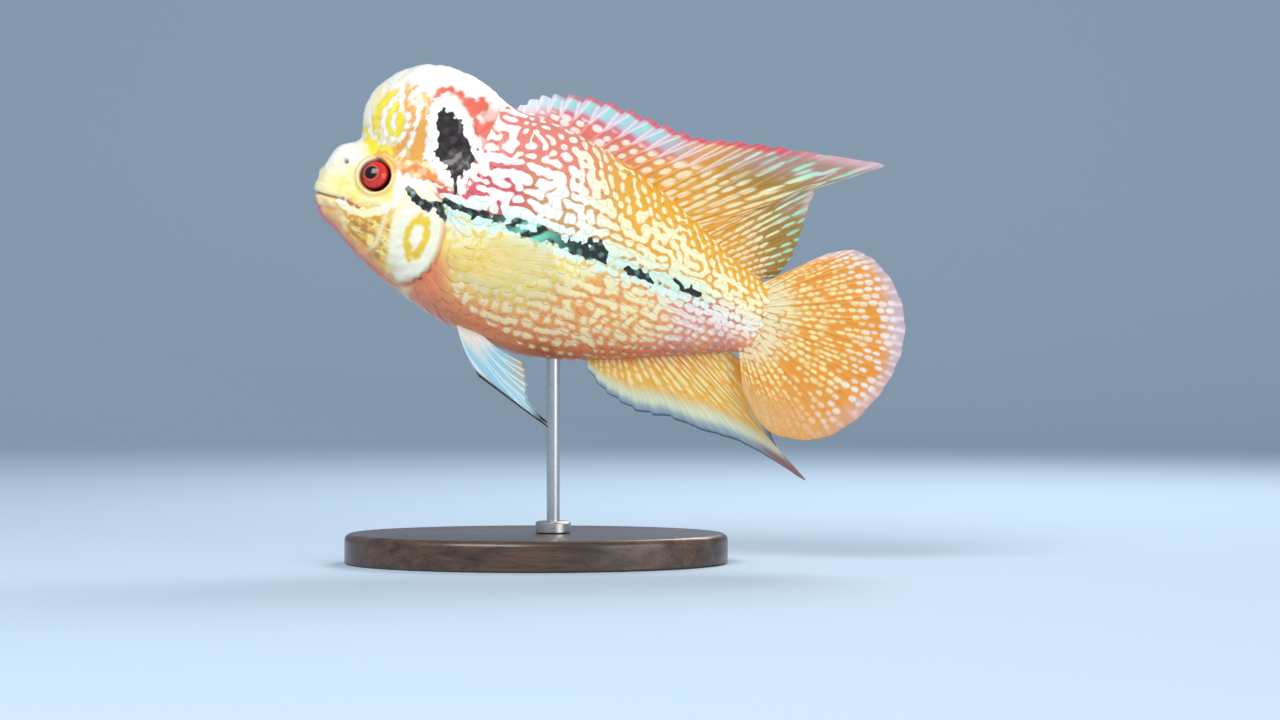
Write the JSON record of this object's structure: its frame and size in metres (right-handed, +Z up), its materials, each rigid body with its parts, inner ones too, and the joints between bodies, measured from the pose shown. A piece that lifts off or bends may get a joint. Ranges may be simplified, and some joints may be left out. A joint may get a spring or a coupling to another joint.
{
  "type": "still model of a flowerhorn cichlid on a display stand",
  "caption": "Life-size still model of a flowerhorn cichlid with a nuchal hump and pearled flanks, held head up on one steel rod over an oval wooden base.",
  "frame": {"origin": "centre of the stand base's underside", "axes": "+Z up; the fish heads towards -X with its tail towards +X, and its left flank faces -Y"},
  "size_m": [0.2148, 0.092, 0.1821],
  "materials": {
    "face": "wet scaleless skin, pale yellow with white",
    "crown": "wet skin, white to cream with yellow worm lines",
    "flank": "wet scales, cream pearls on salmon and gold",
    "stalk": "wet scales, cream pearls on orange",
    "fin": "satin translucent web over rays, orange with pale dots",
    "clear_fin": "satin translucent web over rays, near white",
    "eye": "clear gloss over a red iris and black pupil",
    "walnut": "dark walnut, satin varnish",
    "steel": "brushed"
  },
  "bodies": {
    "root": {"head": "face", "lower_jaw": "face", "gill_cover_left": "face", "gill_cover_right": "face", "nuchal_hump": "crown", "trunk": "flank", "tail_stalk": "stalk", "dorsal_fin": "fin", "anal_fin": "fin", "tail_fin": "fin", "pelvic_fin_left": "clear_fin", "pelvic_fin_right": "clear_fin", "pectoral_fin_left": "clear_fin", "pectoral_fin_right": "clear_fin", "eye_left": "eye", "eye_right": "eye", "stand_base": "walnut", "stand_collar": "steel", "stand_rod": "steel"}
  },
  "joints": []
}
